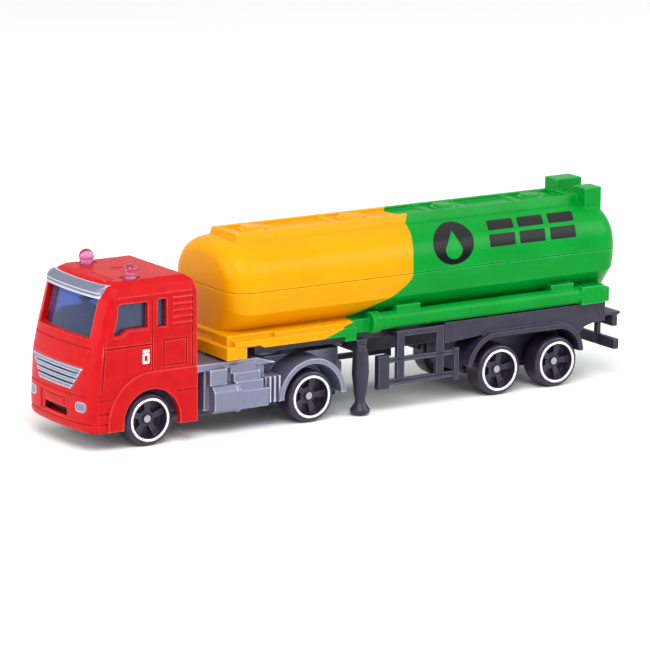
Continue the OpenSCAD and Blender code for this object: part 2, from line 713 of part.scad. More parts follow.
module landing_legs() {
  color(black) {
    both_sides() {
      // foot, tapered column and rounded head
      translate([leg_x, leg_y, foot_z]) rotate_extrude($fn = 96) polygon([[0, 0], [2, 0], [2.2, 0.3],
        [2.2, 0.9], [1.15, 2.4], [1.15, 3.6], [1.55, 9], [1.55, 14.6], [1.2, 15.4], [0, 15.7]]);
      span([leg_x - 1.3, leg_y - 1.2, 14], [leg_x + 1.3, leg_y + 0.6, skirt_z - 1.3]);
      span([leg_x - 1.3, 6.9, 14.2], [leg_x + 1.3, leg_y, 16]);
    }
  }
}

// The guard between landing leg and wing, on the left side
module side_guard() {
  out_y = half_w - 0.1;
  in_y = out_y - 1.1;
  color(black) {
    span([-6.4, in_y - 0.5, 5.2], [-3.5, out_y, 12.8]);
    span([-24.9, in_y, 5.2], [-23.7, out_y, 12.4]);
    span([-24, in_y + 0.1, 10.9], [-6, out_y - 0.2, 12]);
    span([-24, in_y + 0.1, 5.9], [-6, out_y - 0.2, 7.2]);
    for (x = [-10.4, -20.9]) span([x, in_y, 5.9], [x + 2, out_y - 0.1, 17.4]);
    span([-20.9, in_y, 16.6], [-8.4, out_y - 0.1, 17.9]);
    for (x = [-10.4, -20.8]) span([x + 0.2, gooseneck_half_w + 0.05, 16.4], [x + 1.8, in_y + 0.2, 17.6]);
  }
}

cab_shell();
cab_glazing();
cab_interior();
sun_visor();
radiator_grille();
headlamps();
tractor_chassis();
tractor_base_plate();
tractor_rivets();
axle(front_axle_x);  // front_axle
axle(drive_axle_x);  // drive_axle
wheel(front_axle_x, 52);  // front_left_wheel
mirror([0, 1, 0]) wheel(front_axle_x, 20);  // front_right_wheel
wheel(drive_axle_x, 36);  // drive_left_wheel
mirror([0, 1, 0]) wheel(drive_axle_x, 10);  // drive_right_wheel
kingpin();
tank_top_shell();
tank_bottom_shell();
trailer_frame();
landing_legs();
side_guard();  // left_side_guard
mirror([0, 1, 0]) side_guard();  // right_side_guard
axle_retainer();
trailer_screws();
axle(fore_axle_x);  // fore_trailer_axle
axle(aft_axle_x);  // aft_trailer_axle
wheel(fore_axle_x, 41);  // fore_left_wheel
mirror([0, 1, 0]) wheel(fore_axle_x, 30);  // fore_right_wheel
wheel(aft_axle_x, 36);  // aft_left_wheel
mirror([0, 1, 0]) wheel(aft_axle_x, 60);  // aft_right_wheel
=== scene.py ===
"""Looks of a toy articulated tanker truck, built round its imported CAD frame.

Pieces are shaped in millimetres and shrunk to metres at the end. +X is forward, +Y the truck's
left, +Z up. Moulded and die-cast pieces start from their CAD node, get their relief cut in, and
are then remeshed and relaxed, which gives them soft cast edges.
"""

import json
import math

import bmesh
import bpy
import numpy as np
from mathutils import Matrix, Vector


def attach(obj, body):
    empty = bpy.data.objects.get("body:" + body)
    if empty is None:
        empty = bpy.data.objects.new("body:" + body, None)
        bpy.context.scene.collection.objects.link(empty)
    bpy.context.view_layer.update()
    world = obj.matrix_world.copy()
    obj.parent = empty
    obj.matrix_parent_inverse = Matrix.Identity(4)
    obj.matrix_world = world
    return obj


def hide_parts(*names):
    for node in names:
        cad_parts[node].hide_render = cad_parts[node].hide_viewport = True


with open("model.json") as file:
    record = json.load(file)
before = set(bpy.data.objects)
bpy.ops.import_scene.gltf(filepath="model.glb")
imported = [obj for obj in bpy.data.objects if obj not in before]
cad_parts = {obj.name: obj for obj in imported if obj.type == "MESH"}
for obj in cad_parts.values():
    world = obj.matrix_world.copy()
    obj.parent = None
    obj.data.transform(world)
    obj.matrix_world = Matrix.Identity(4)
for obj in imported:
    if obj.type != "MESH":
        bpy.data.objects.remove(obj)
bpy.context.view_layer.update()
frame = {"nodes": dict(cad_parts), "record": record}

MM = 0.001
SMALL_PIECE = 60000  # most faces of a small piece
scene = bpy.context.scene

# wheels and legs
TYRE_R = 5.75
WHEEL_FACE_Y = 13.4
AXLES = {"front": 54.3, "drive": 13.5, "fore": -36.5, "aft": -52.3}
LEG_X, LEG_Y = 0.4, 12.5

# cab. BOW and CORNER say how far its front falls back, in an even curve and at the corners
CAB_FRONT = 70.15
CAB_REAR = 43.1
CAB_SIDE = 14.0
BOW, CORNER = 1.1, 1.8
# height, and how far the cab's front lies behind its foremost point there
FRONT_PROFILE = ((4.3, 0.45), (5.0, 0.1), (8.0, 0.0), (18.0, 0.45), (24.0, 1.75), (32.8, 4.0),
                 (34.9, 5.1), (36.0, 6.6))
FRONT_STEPS = 16
SLOT_HALF, SLOT_LOW, SLOT_HIGH = 4.6, 6.9, 8.5
RIDGE_Z = 35.85  # middle of the roof's ridges, just under its skin
ARCH_R = 10.55
EMBLEM_X, EMBLEM_Z = 55.7, 19.4

# tank
TANK_FRONT, TANK_REAR = 33.4, -69.5
TANK_HALF, TANK_TOP, SEAM_Z = 13.7, 40.6, 30.4
TANK_SQUARENESS = 2.3  # 2 would be an ellipse
WALL = 1.1
RAIL_TOP = 41.8
CHANNEL_HALF = 3.9
SCREW_XS = (8, -27, -61)
MANHOLES = (21, -4.5, -29.5, -53.5)
BADGE_ALONG, BADGE_UP = -23.5, 36.0
# millimetres that the print moves along and up for each millimetre inboard of the tank's side
PRINT_LEAN, PRINT_CLIMB = 0.4, 0.19


# ---------------------------------------------------------------- mesh helpers, all in millimetres

def new_object(name, vertices, faces):
    """A mesh object from points and faces."""
    mesh = bpy.data.meshes.new(name)
    mesh.from_pydata([tuple(v) for v in vertices], [], faces)
    mesh.update()
    obj = bpy.data.objects.new(name, mesh)
    scene.collection.objects.link(obj)
    return obj


def outward(obj):
    """Turns every face of a closed mesh to the outside."""
    bm = bmesh.new()
    bm.from_mesh(obj.data)
    bmesh.ops.recalc_face_normals(bm, faces=bm.faces)
    bm.to_mesh(obj.data)
    bm.free()
    return obj


def loft(rings, closed=False):
    """A closed skin over rings of equally many points; closed joins the last ring to the first."""
    count = len(rings[0])
    vertices = [p for ring in rings for p in ring]
    faces = []
    spans = len(rings) if closed else len(rings) - 1
    for r in range(spans):
        a, b = r * count, (r + 1) % len(rings) * count
        for i in range(count):
            j = (i + 1) % count
            faces.append((a + i, a + j, b + j, b + i))
    if not closed:
        faces.append(tuple(range(count)))
        faces.append(tuple((len(rings) - 1) * count + i for i in range(count)))
    return outward(new_object("loft", vertices, faces))


def block(low, high):
    """A box between two corners."""
    (x0, y0, z0), (x1, y1, z1) = low, high
    return loft([[(x, y0, z0), (x, y1, z0), (x, y1, z1), (x, y0, z1)] for x in (x0, x1)])


def plate_yz(outline, x0, x1):
    """An outline in front view, as deep as x0 to x1."""
    return loft([[(x, y, z) for y, z in outline] for x in (x0, x1)])


def disc(centre, axis, radius, length, sides=48, top_radius=None):
    """A round boss from centre along axis."""
    centre, axis = Vector(centre), Vector(axis).normalized()
    across = axis.orthogonal().normalized()
    up = axis.cross(across)
    rings = []
    for along, r in ((0, radius), (length, radius if top_radius is None else top_radius)):
        ring = []
        for i in range(sides):
            a = 2 * math.pi * i / sides
            ring.append(centre + axis * along + across * (r * math.cos(a)) + up * (r * math.sin(a)))
        rings.append(ring)
    return loft(rings)


def bead(points, radius, sides=8):
    """A thin round bar along a line of points, used as a raised bead or to cut a groove."""
    points = [Vector(p) for p in points]
    across = None
    rings = []
    for i, point in enumerate(points):
        ahead = points[min(i + 1, len(points) - 1)] - points[max(i - 1, 0)]
        ahead.normalize()
        # each ring takes over the one before it, so that the bar isn't twisted
        across = ahead.orthogonal() if across is None else across - ahead * across.dot(ahead)
        across.normalize()
        up = ahead.cross(across)
        ring = []
        for k in range(sides):
            a = 2 * math.pi * (k + 0.5) / sides
            ring.append(point + across * (radius * math.cos(a)) + up * (radius * math.sin(a)))
        rings.append(ring)
    return loft(rings)


def mirrored(obj):
    """A copy on the truck's other side."""
    copy = bpy.data.objects.new(obj.name, obj.data.copy())
    scene.collection.objects.link(copy)
    copy.data.transform(Matrix.Scale(-1, 4, (0, 1, 0)))
    return outward(copy)


def both(objs):
    """The pieces of a list, and their copies on the other side."""
    return objs + [mirrored(o) for o in objs]


def node_solid(node):
    """A welded copy of a CAD node's mesh, in millimetres."""
    mesh = frame["nodes"][node].data.copy()
    mesh.transform(Matrix.Scale(1 / MM, 4))
    bm = bmesh.new()
    bm.from_mesh(mesh)
    bmesh.ops.remove_doubles(bm, verts=bm.verts, dist=0.0004)
    bm.to_mesh(mesh)
    bm.free()
    obj = bpy.data.objects.new("solid", mesh)
    scene.collection.objects.link(obj)
    return obj


def bake_modifiers(obj):
    """Replaces a mesh with what its modifiers make of it."""
    bpy.context.view_layer.update()
    graph = bpy.context.evaluated_depsgraph_get()
    mesh = bpy.data.meshes.new_from_object(obj.evaluated_get(graph))
    obj.modifiers.clear()
    old = obj.data
    obj.data = mesh
    bpy.data.meshes.remove(old)
    return obj


def carve(obj, cutters, operation="DIFFERENCE"):
    """Cuts every cutter out of obj, or keeps only what lies inside, and clears them away."""
    for cutter in cutters:
        modifier = obj.modifiers.new("carve", "BOOLEAN")
        modifier.operation = operation
        modifier.solver = "MANIFOLD"
        modifier.object = cutter
    bake_modifiers(obj)
    for cutter in cutters:
        bpy.data.objects.remove(cutter)
    return obj


def join(objs):
    """One object from several overlapping closed ones; the remesh melts them together."""
    bm = bmesh.new()
    for obj in objs:
        bm.from_mesh(obj.data)
    mesh = bpy.data.meshes.new("joined")
    bm.to_mesh(mesh)
    bm.free()
    for obj in objs[1:]:
        bpy.data.objects.remove(obj)
    objs[0].data = mesh
    return objs[0]


def soften(obj, voxel, passes=3, most_faces=170000):
    """Remeshes a solid on a fine grid and relaxes it, for soft moulded edges."""
    remesh = obj.modifiers.new("remesh", "REMESH")
    remesh.mode = "VOXEL"
    remesh.voxel_size = voxel * 1
    relax = obj.modifiers.new("relax", "SMOOTH")
    relax.factor = 0.5
    relax.iterations = passes
    bake_modifiers(obj)
    triangles = 2 * len(obj.data.polygons)
    if triangles > most_faces:
        thin = obj.modifiers.new("thin", "DECIMATE")
        thin.ratio = most_faces / triangles
        bake_modifiers(obj)
    return obj


def finish_piece(obj, name, body, slot, nodes=()):
    """Shrinks a piece to metres, gives it its name, body and slot's look, and hides the nodes it stands for.
    """
    obj.name = name
    obj.data.name = name
    obj.data.transform(Matrix.Scale(MM, 4))
    obj.data.materials.clear()
    obj.data.materials.append(MATERIALS[slot])
    obj.data.polygons.foreach_set("use_smooth", [True] * len(obj.data.polygons))
    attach(obj, body)
    if nodes:
        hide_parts(*nodes)
    return obj


def build_moulded(node, name, body, slot, voxel, passes=3, adders=(), cutters=(), most=120000):
    """A CAD node with relief added and cut, and soft moulded edges."""
    piece = node_solid(node)
    if cutters:
        piece = carve(piece, list(cutters))
    if adders:
        piece = join([piece] + list(adders))
    soften(piece, voxel, passes, most)
    return finish_piece(piece, name, body, slot, [node])


# ---------------------------------------------------------------- material helpers

class Nodes:
    """Short calls that wire a material's node tree. A socket argument is a socket or a number."""

    def __init__(self, name):
        self.material = bpy.data.materials.new(name)
        self.material.use_nodes = True
        self.tree = self.material.node_tree
        self.shader = self.tree.nodes["Principled BSDF"]
        coordinates = self.tree.nodes.new("ShaderNodeTexCoord")
        scale = self.tree.nodes.new("ShaderNodeVectorMath")
        scale.operation = "SCALE"
        scale.inputs["Scale"].default_value = 1 / MM
        self.tree.links.new(coordinates.outputs["Object"], scale.inputs[0])
        self.place = scale.outputs[0]
        split = self.tree.nodes.new("ShaderNodeSeparateXYZ")
        self.tree.links.new(self.place, split.inputs[0])
        self.x, self.y, self.z = split.outputs

    def put(self, socket, value):
        """Links a socket to another, or gives it a plain value."""
        if isinstance(value, bpy.types.NodeSocket):
            self.tree.links.new(value, socket)
        else:
            socket.default_value = value

    def math(self, operation, a, b=0.0, c=0.0):
        """One math node."""
        node = self.tree.nodes.new("ShaderNodeMath")
        node.operation = operation
        for socket, value in zip(node.inputs, (a, b, c)):
            self.put(socket, value)
        return node.outputs[0]

    def add(self, a, b):
        return self.math("ADD", a, b)

    def sub(self, a, b):
        return self.math("SUBTRACT", a, b)

    def mul(self, a, b):
        return self.math("MULTIPLY", a, b)

    def size(self, a):
        """The value without its sign."""
        return self.math("ABSOLUTE", a)

    def length(self, a, b):
        """The long side of a right triangle."""
        return self.math("SQRT", self.add(self.mul(a, a), self.mul(b, b)))

    def step(self, value, low, high):
        """0 on low's side, 1 on high's side, smooth between. low may be the larger of the two."""
        node = self.tree.nodes.new("ShaderNodeMapRange")
        node.interpolation_type = "SMOOTHSTEP"
        node.inputs["From Min"].default_value = low
        node.inputs["From Max"].default_value = high
        self.put(node.inputs["Value"], value)
        return node.outputs["Result"]

    def noise(self, scale, detail=3.0, rough=0.5, stretch=None):
        """Noise with about scale lumps a millimetre."""
        node = self.tree.nodes.new("ShaderNodeTexNoise")
        node.inputs["Scale"].default_value = scale
        node.inputs["Detail"].default_value = detail
        node.inputs["Roughness"].default_value = rough
        vector = self.place
        if stretch:
            mapping = self.tree.nodes.new("ShaderNodeMapping")
            mapping.inputs["Scale"].default_value = stretch
            self.tree.links.new(vector, mapping.inputs["Vector"])
            vector = mapping.outputs[0]
        self.tree.links.new(vector, node.inputs["Vector"])
        return node.outputs["Fac"]

    def between(self, factor, a, b):
        """Mixes two colours."""
        node = self.tree.nodes.new("ShaderNodeMix")
        node.data_type = "RGBA"
        self.put(node.inputs[0], factor)
        self.put(node.inputs[6], a if isinstance(a, bpy.types.NodeSocket) else (*a, 1))
        self.put(node.inputs[7], b if isinstance(b, bpy.types.NodeSocket) else (*b, 1))
        return node.outputs[2]

    def value(self, factor, low, high):
        """Runs from low to high as factor goes from 0 to 1."""
        return self.math("MULTIPLY_ADD", factor, high - low, low)

    def nearby(self, reach, inside=False):
        """1 where nothing is within reach millimetres, lower where faces crowd; inside looks inward."""
        node = self.tree.nodes.new("ShaderNodeAmbientOcclusion")
        node.samples = 8
        node.only_local = True
        node.inside = inside
        node.inputs["Distance"].default_value = reach * MM
        return node.outputs["AO"]

    def rub_sheen_and_groove_shade(self, base, edge, groove, edge_share=0.5, groove_share=0.6):
        """A colour made lighter along edges, a painted highlight that also stands for rubbed wear, and
        darker in grooves, a painted shade.
        """
        # painted highlight on convex edges, partly rubbed wear; below it, painted shade where grooves and
        # recesses crowd in
        edge_rub_and_sheen = self.step(self.nearby(0.4, True), 0.9, 0.65)
        groove_shade = self.step(self.nearby(0.6), 0.85, 0.45)
        base = self.between(self.mul(edge_rub_and_sheen, edge_share), base, edge)
        return self.between(self.mul(groove_shade, groove_share), base, groove)

    def bump(self, height, distance, strength=1.0):
        """Lets height ruffle the surface by about distance millimetres."""
        node = self.tree.nodes.new("ShaderNodeBump")
        node.inputs["Distance"].default_value = distance * MM
        node.inputs["Strength"].default_value = strength
        self.tree.links.new(height, node.inputs["Height"])
        self.tree.links.new(node.outputs[0], self.shader.inputs["Normal"])

    def set(self, **inputs):
        """Puts values into the shader's inputs, named in lower case with underscores."""
        for key, value in inputs.items():
            name = key.replace("_", " ").title().replace("Ior", "IOR")
            if isinstance(value, tuple) and len(value) == 3:
                value = (*value, 1)
            self.put(self.shader.inputs[name], value)
        return self


def linear(r, g, b):
    """Linear colour from 0 to 255 display values."""
    return tuple((c / 255 / 12.92) if c / 255 <= 0.04045 else ((c / 255 + 0.055) / 1.055) ** 2.4
                 for c in (r, g, b))


def box_mask(n, u, v, centre, half, corner, blur=0.06):
    """1 inside a rounded rectangle of u, v coordinates in millimetres."""
    du = n.math("MAXIMUM", n.sub(n.size(n.sub(u, centre[0])), half[0] - corner), 0)
    dv = n.math("MAXIMUM", n.sub(n.size(n.sub(v, centre[1])), half[1] - corner), 0)
    return n.sub(1, n.step(n.length(du, dv), corner - blur, corner + blur))


RED = linear(190, 13, 19)
RED_DEEP = linear(179, 11, 17)
# lighter red for the edges: painted highlight, partly thin enamel
RED_EDGE = linear(246, 112, 106)
YELLOW = linear(219, 148, 0)
GREEN = linear(0, 142, 46)


def cab_paint():
    """Gloss red enamel over a die-casting, with painted highlights on edges where the enamel also runs thin,
    painted shade in grooves and in the air slot, and a white badge.
    """
    n = Nodes("cab_enamel")
    mottle = n.noise(0.35, 4)
    base = n.between(n.step(mottle, 0.35, 0.7), RED, RED_DEEP)
    # painted highlights on edges and painted shade in grooves
    base = n.rub_sheen_and_groove_shade(base, RED_EDGE, linear(110, 4, 10))
    # painted shade: the inside of the air slot is coloured near-black red
    slot = box_mask(n, n.y, n.z, (0, (SLOT_LOW + SLOT_HIGH) / 2),
                    (SLOT_HALF + 0.1, (SLOT_HIGH - SLOT_LOW) / 2 + 0.1), 0.1)
    slot = n.mul(slot, n.mul(n.step(n.x, 66, 66.2), n.step(n.x, 69.7, 69.3)))
    base = n.between(slot, base, linear(42, 6, 12))
    side = n.step(n.size(n.y), CAB_SIDE - 0.4, CAB_SIDE - 0.2)
    badge = n.sub(box_mask(n, n.x, n.z, (EMBLEM_X, EMBLEM_Z), (0.85, 1.15), 0.4),
                  box_mask(n, n.x, n.z, (EMBLEM_X, EMBLEM_Z), (0.4, 0.6), 0.2))
    bar = box_mask(n, n.x, n.z, (EMBLEM_X, EMBLEM_Z + 1.6), (0.85, 0.3), 0.15)
    badge = n.math("MAXIMUM", badge, bar)
    base = n.between(n.mul(side, badge), base, (0.9, 0.88, 0.86))
    n.set(base_color=base, roughness=n.value(n.noise(1.3, 3), 0.28, 0.4),
          specular_ior_level=0.12)
    peel = n.add(n.noise(2.2, 2, 0.4), n.mul(n.noise(9, 2), 0.2))
    n.bump(peel, 0.03, 0.6)
    return n.material


def tank_paint():
    """Yellow before a swept line and green behind it, with a plain black drop badge and bars."""
    n = Nodes("tank_two_tone")
    # x of the line between the colours, which runs forward below the seam and back above it
    below_seam = n.math("MAXIMUM", n.sub(30, n.z), 0)
    sweep = n.math("MULTIPLY_ADD", n.math("POWER", below_seam, 1.5), 0.585, -12.4)
    inboard = n.sub(TANK_HALF, n.size(n.y))
    over = n.math("MAXIMUM", n.sub(n.math("MULTIPLY_ADD", inboard, PRINT_CLIMB, n.z), 31.5), 0)
    sweep = n.sub(sweep, n.mul(n.math("POWER", over, 1.65), 0.068))
    waver = n.mul(n.sub(n.noise(0.8, 2), 0.5), 0.08)
    yellow = n.step(n.sub(n.add(n.x, waver), sweep), -0.05, 0.05)
    tone = n.step(n.noise(0.12, 4), 0.3, 0.75)
    # both coats get painted highlights on edges and painted shade in grooves
    yellow_coat = n.rub_sheen_and_groove_shade(n.between(tone, YELLOW, linear(222, 153, 0)), linear(255, 200, 60),
                         linear(150, 84, 0))
    green_coat = n.rub_sheen_and_groove_shade(n.between(tone, GREEN, linear(0, 133, 40)), linear(70, 205, 110),
                        linear(0, 88, 24))
    base = n.between(yellow, green_coat, yellow_coat)
    side = n.step(n.size(n.y), 6.0, 6.1)
    ink = n.mul(n.mul(printed_marks(n), side), n.step(n.z, 30.9, 31))
    # the black print runs slightly lighter higher up, a painted sheen where the tank's top curves upward
    base = n.between(ink, base, n.between(n.step(n.z, 32, 39), (0.003, 0.004, 0.004),
                                          (0.02, 0.021, 0.022)))
    n.set(base_color=base, roughness=n.value(n.noise(1.1, 3), 0.24, 0.34),
          specular_ior_level=0.1)
    n.bump(n.add(n.noise(1.5, 2, 0.4), n.mul(n.noise(7, 2), 0.15)), 0.02, 0.4)
    return n.material


def printed_marks(n):
    """Mask of the black print: an oval badge round an open drop, and three pairs of slanted blocks."""
    inboard = n.sub(TANK_HALF, n.size(n.y))
    # the print wraps over the shoulder: along and up are measured on the sloping skin
    along = n.math("MULTIPLY_ADD", inboard, PRINT_LEAN, n.x)
    up = n.math("MULTIPLY_ADD", inboard, PRINT_CLIMB, n.z)
    badge_half_long, badge_half_high = 5.5, 4.8
    across = n.math("DIVIDE", n.sub(along, BADGE_ALONG), badge_half_long)
    high = n.math("DIVIDE", n.sub(up, BADGE_UP), badge_half_high)
    badge = n.sub(1, n.step(n.length(across, high), 0.985, 1.0))
    drop_up = n.sub(up, BADGE_UP - 1.3)
    drop_along = n.size(n.sub(along, BADGE_ALONG))
    # a drop is a circle below its centre and narrows to a point above it
    squeeze = n.math("MULTIPLY_ADD", n.math("MAXIMUM", drop_up, 0), -0.24, 1.0)
    reach_along = n.math("DIVIDE", drop_along, n.math("MAXIMUM", squeeze, 0.02))
    reach = n.length(reach_along, n.math("MINIMUM", drop_up, 0))
    below_tip = n.sub(1, n.step(drop_up, 4.0, 4.1))
    drop = n.mul(n.sub(1, n.step(reach, 2.2, 2.3)), below_tip)
    marks = n.mul(badge, n.sub(1, drop))
    for x in (-36.7, -44.9, -53.3):
        for z, half in ((38.9, 1.1), (35.5, 1.4)):
            marks = n.math("MAXIMUM", marks, box_mask(n, along, up, (x, z), (3.5, half), 0.3))
    return marks


def silver_plastic():
    """Silver-grey moulding with fine flakes, with painted highlights along its edges, partly rubbed wear,
    and painted shade in grooves.
    """
    n = Nodes("silver_moulding")
    flake = n.noise(14, 2, 0.6)
    base = n.between(n.step(flake, 0.3, 0.7), linear(106, 110, 134), linear(134, 138, 162))
    # near-white painted highlights on edges and painted shade in grooves
    base = n.rub_sheen_and_groove_shade(base, linear(236, 238, 248), linear(56, 56, 76), 0.72, 0.4)
    n.set(base_color=base, metallic=0.5, roughness=n.value(n.noise(1.5, 3), 0.28, 0.42))
    n.bump(n.add(flake, n.noise(2, 2)), 0.012, 0.6)
    return n.material


def black_plastic(name="black_moulding", gloss=0.0, tint=(45, 40, 60)):
    """Blue-black moulding with a faint grain, paler on its edges and darker in grooves: painted highlight
    and painted shade.
    """
    n = Nodes(name)
    base = n.between(n.step(n.noise(0.5, 4), 0.3, 0.7), linear(*tint),
                     linear(*(c * 0.84 for c in tint)))
    # painted highlights on edges and painted shade in grooves
    base = n.rub_sheen_and_groove_shade(base, linear(104, 106, 134), linear(20, 18, 28), 0.4)
    n.set(base_color=base, roughness=n.value(n.noise(2.1, 3), 0.34 - gloss, 0.48 - gloss),
          specular_ior_level=0.4)
    n.bump(n.noise(6, 3, 0.6), 0.015, 0.5)
    return n.material


def rim_foil():
    """Hot-stamped silver foil, slightly uneven."""
    n = Nodes("rim_foil")
    base = n.between(n.noise(2.2, 3), linear(232, 233, 238), linear(252, 252, 254))
    n.set(base_color=base, metallic=0.55, roughness=n.value(n.noise(3, 3), 0.2, 0.38))
    n.bump(n.noise(4, 3), 0.02, 0.6)
    return n.material


def steel():
    """Bright drawn wire and turned heads, with fine lines."""
    n = Nodes("bright_steel")
    lines = n.noise(3, 3, 0.6, stretch=(1, 6, 6))
    base = n.between(lines, linear(150, 151, 154), linear(188, 188, 190))
    n.set(base_color=base, metallic=1.0, roughness=n.value(lines, 0.2, 0.38))
    n.bump(lines, 0.01, 0.5)
    return n.material


def tinted_clear():
    """Clear styrene with a blue tint and faint flow lines, pink in the beacons on the roof."""
    n = Nodes("blue_clear")
    flow = n.noise(0.3, 3, 0.5, stretch=(1, 1, 3))
    glass = n.between(flow, linear(112, 142, 212), linear(126, 156, 220))
    base = n.between(n.step(n.z, 35.4, 36.2), glass, linear(226, 128, 176))
    n.set(base_color=base, roughness=n.value(n.noise(2, 2), 0.02, 0.07), transmission_weight=0.92,
          ior=1.5)
    n.bump(flow, 0.03, 0.3)
    return n.material


MATERIALS = {
    "cab_paint": cab_paint(),
    "tank_plastic": tank_paint(),
    "silver_plastic": silver_plastic(),
    "black_plastic": black_plastic(),
    "wheel_plastic": black_plastic("wheel_moulding", 0.06, (48, 41, 62)),
    "rim_foil": rim_foil(),
    "steel": steel(),
    "clear_blue_plastic": tinted_clear(),
}


# ---------------------------------------------------------------- cab

def front_x(y, z):
    """Where the cab's bowed front lies at a height and a distance from the centre plane."""
    heights = [p[0] for p in FRONT_PROFILE]
    back = [p[1] for p in FRONT_PROFILE]
    t = min(abs(y) / CAB_SIDE, 1)
    return CAB_FRONT - float(np.interp(z, heights, back)) - BOW * t * t - CORNER * t ** 9


def front_line(y0, z0, y1, z1, radius):
    """A bead that follows the cab's front between two points of its front view."""
    points = []
    for i in range(FRONT_STEPS + 1):
        y = y0 + (y1 - y0) * i / FRONT_STEPS
        z = z0 + (z1 - z0) * i / FRONT_STEPS
        points.append((front_x(y, z), y, z))
    return bead(points, radius)


def front_patch(half_low, half_high, z0, z1, proud, depth):
    """A slab that follows the cab's front: proud of it by proud, and depth thick."""
    rings = []
    for i in range(FRONT_STEPS + 1):
        t = 2 * i / FRONT_STEPS - 1
        ring = []
        for half, z in ((half_low, z0), (half_high, z1)):
            ring.append((front_x(half * t, z) + proud, half * t, z))
        for half, z in ((half_high, z1), (half_low, z0)):
            ring.append((front_x(half * t, z) + proud - depth, half * t, z))
        rings.append(ring)
    return loft(rings)


def build_cab():
    """The red shell with its front, door, roof and bumper relief."""
    out = 3.0  # a cutter starts this far in front of the skin
    cutters = [
        # grooves under the windscreen, over the bumper and low on it
        front_line(-11.6, 22.3, 11.6, 22.3, 0.3),
        front_line(-11.8, 11.9, 11.8, 11.9, 0.25),
        front_line(-13.2, 6.1, 13.2, 6.1, 0.28),
        # the bumper's middle panel and the air slot in it
        front_patch(6.2, 6.4, 6.4, 10.9, out, out + 0.3),
        front_patch(SLOT_HALF, SLOT_HALF, SLOT_LOW, SLOT_HIGH, out, out + 1.5),
        # groove over the left half of the roof
        bead([(60.8, 0, 36.1), (60.8, 9.6, 36.1)], 0.28),
    ]
    side_cutters = [
        # end of the windscreen's groove, turned down
        front_line(11.6, 22.3, 10.9, 18.9, 0.28),
        # seat of the roof beacon
        disc((56.8, 9.2, 35.75), (0, 0, 1), 2.3, 2),
    ]
    # grooves between the steps at the front corner, and behind the wheel arch
    for x, z in ((64.0, 11.2), (64.6, 8.4), (64.9, 6.1)):
        side_cutters.append(bead([(x, CAB_SIDE, z), (68.2, CAB_SIDE, z)], 0.26))
    side_cutters.append(bead([(43.0, CAB_SIDE + 0.3, 11.5), (48.4, CAB_SIDE + 0.3, 11.5)], 0.22))
    cab = carve(node_solid("cab_shell"), cutters + both(side_cutters))
    adders = [
        cab,
        # number plate, and the raised shape on the roof
        front_patch(3.6, 3.6, 9.0, 10.4, -0.1, 0.5),
        bead([(55.4, -1.4, 35.8), (51.4, -1.2, RIDGE_Z), (50.2, 1.2, RIDGE_Z), (51.4, 3.2, 35.8)], 0.4),
        # plug behind the air slot
        block((67.2, -5.4, 6.2), (68.3, 5.4, 9.2)),
    ]
    # ridges over the roof, behind the visor
    for k in range(3):
        adders.append(bead([(63.0 - 0.7 * k, -9.6, RIDGE_Z), (63.0 - 0.7 * k, 9.6, RIDGE_Z)], 0.3))
    sill_y = CAB_SIDE - 0.05
    adders += both([
        # lip along the door window's sill, and ridge where roof meets side
        bead([(63.9, sill_y, 24.4), (61.8, sill_y, 24.4), (60.1, sill_y, 25.5), (54.9, sill_y, 25.5)], 0.26),
        bead([(44.6, 13.85, 33.0), (62.6, 13.8, 32.9)], 0.26),
    ])
    # lip round the wheel arch, run straight on to the cab's rear
    arch_y = CAB_SIDE + 0.22
    arch = []
    for degrees in range(12, 91, 6):
        a = math.radians(degrees)
        arch.append((AXLES["front"] + ARCH_R * math.cos(a), arch_y, TYRE_R + ARCH_R * math.sin(a)))
    arch.append((CAB_REAR + 0.2, arch_y, TYRE_R + ARCH_R))
    adders += both([bead(arch, 0.24)])
    cab = soften(join(adders), 0.1, 2)
    return finish_piece(cab, "cab_casting", "tractor", "cab_paint", ["cab_shell"])


def build_cab_trim():
    """Visor, grille, lamps, glazing and interior."""
    build_moulded("sun_visor", "visor", "tractor", "silver_plastic", 0.09, 2,
                  cutters=[front_patch(13, 13, 32.0, 33.7, 3.5, 3.0)], most=SMALL_PIECE)
    build_moulded("radiator_grille", "grille", "tractor", "silver_plastic", 0.07, 2, most=SMALL_PIECE)
    build_moulded("headlamps", "lamps", "tractor", "silver_plastic", 0.07, 2, most=SMALL_PIECE)
    build_moulded("cab_glazing", "glazing", "tractor", "clear_blue_plastic", 0.13, 4)
    build_moulded("cab_interior", "interior", "tractor", "black_plastic", 0.16, 2, most=SMALL_PIECE)


# ---------------------------------------------------------------- landing legs and side guards

def build_legs():
    """Landing legs whose columns swell towards the top."""
    up = (0, 0, 1)
    columns = both([disc((LEG_X, LEG_Y, 4.2), up, 1.3, 5.2, top_radius=1.9),
                    disc((LEG_X, LEG_Y, 9.3), up, 1.9, 5.4, top_radius=1.7)])
    build_moulded("landing_legs", "legs", "trailer", "black_plastic", 0.11, 6, columns, most=SMALL_PIECE)


def build_guards():
    """Side guards with a groove along each rail, so that the rails read as thin channels."""
    for side, sign in (("left", 1), ("right", -1)):
        grooves = [bead([(-6.6, sign * 13.75, z), (-23.6, sign * 13.75, z)], 0.28) for z in (6.55, 11.45)]
        build_moulded(f"{side}_side_guard", f"{side}_guard", "trailer", "black_plastic", 0.1, 2,
                      cutters=grooves, most=SMALL_PIECE)


# ---------------------------------------------------------------- wheels

def build_wheels():
    """Softened wheels with a foiled rim edge, one for each CAD wheel."""
    for end, axle_x in AXLES.items():
        for side in ("left", "right"):
            node = f"{end}_{side}_wheel"
            sign = 1 if side == "left" else -1
            build_moulded(node, f"{node}_moulding", node, "wheel_plastic", 0.11, 2, most=SMALL_PIECE)
            finish_piece(rim_edge(axle_x, sign), f"{node}_foil", node, "rim_foil")


